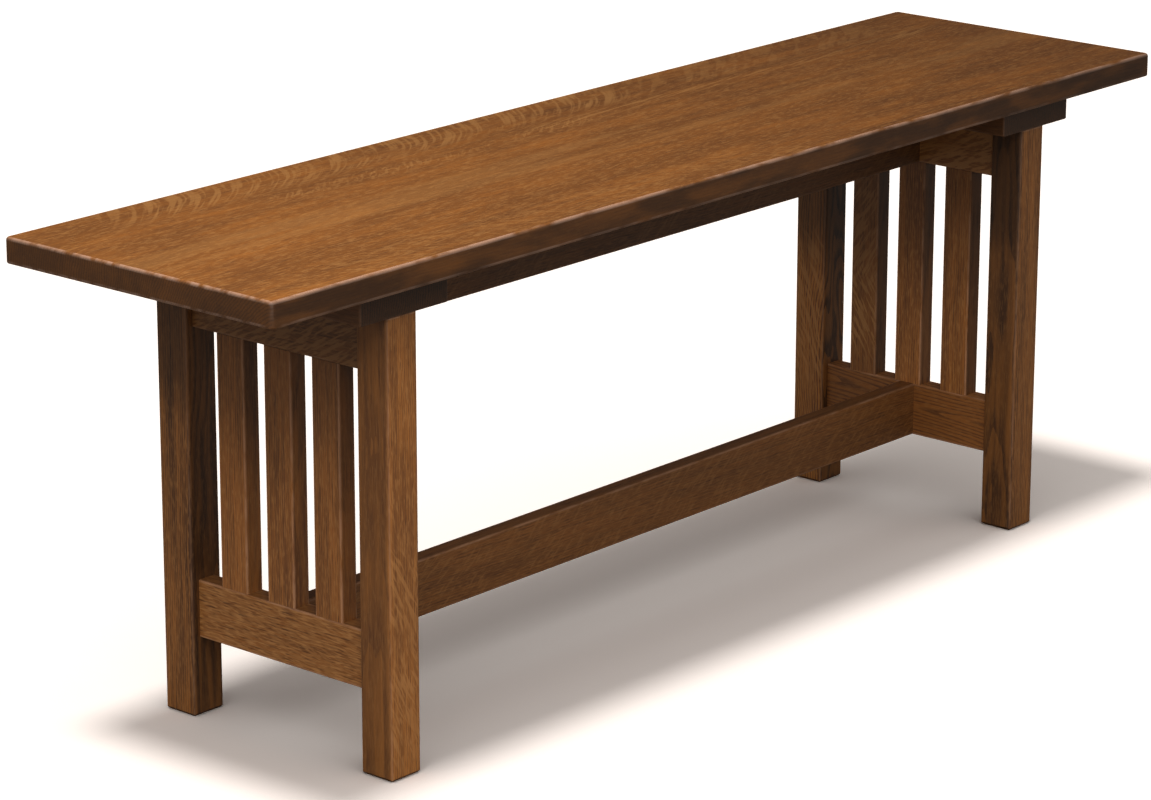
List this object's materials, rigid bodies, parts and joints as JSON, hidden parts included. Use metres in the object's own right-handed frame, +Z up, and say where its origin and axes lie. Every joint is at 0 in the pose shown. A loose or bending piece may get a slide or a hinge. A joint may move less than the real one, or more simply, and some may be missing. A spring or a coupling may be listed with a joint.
{
  "type": "trestle bench",
  "caption": "Oak trestle bench: long plank seat on cleats over slatted end frames, tied by a lower stretcher and a rail under the seat.",
  "frame": {"origin": "on the floor, under the middle of the seat", "axes": "+X along the bench, +Y from the front edge to the back edge, +Z up"},
  "size_m": [1.236, 0.313, 0.457],
  "materials": {
    "seat_oak": "quarter-sawn oak, warm brown stain under satin lacquer",
    "frame_oak": "oak, warm brown stain under satin lacquer",
    "dowel_beech": "bare beech, unstained",
    "screw_steel": "zinc plated, slightly yellow"
  },
  "bodies": {
    "root": {"seat_board_front": "seat_oak", "seat_board_front_middle": "seat_oak", "seat_board_back_middle": "seat_oak", "seat_board_back": "seat_oak", "leg_left_front": "frame_oak", "leg_left_back": "frame_oak", "top_rail_left": "frame_oak", "bottom_rail_left": "frame_oak", "slat_left_1": "frame_oak", "slat_left_2": "frame_oak", "slat_left_3": "frame_oak", "cleat_left": "frame_oak", "leg_right_front": "frame_oak", "leg_right_back": "frame_oak", "top_rail_right": "frame_oak", "bottom_rail_right": "frame_oak", "slat_right_1": "frame_oak", "slat_right_2": "frame_oak", "slat_right_3": "frame_oak", "cleat_right": "frame_oak", "lower_stretcher": "frame_oak", "upper_stretcher": "frame_oak", "cleat_dowels_left": "dowel_beech", "cleat_dowels_right": "dowel_beech", "cleat_screws_left": "screw_steel", "seat_screws_left": "screw_steel", "seat_washers_left": "screw_steel", "cleat_screws_right": "screw_steel", "seat_screws_right": "screw_steel", "seat_washers_right": "screw_steel"}
  },
  "joints": []
}
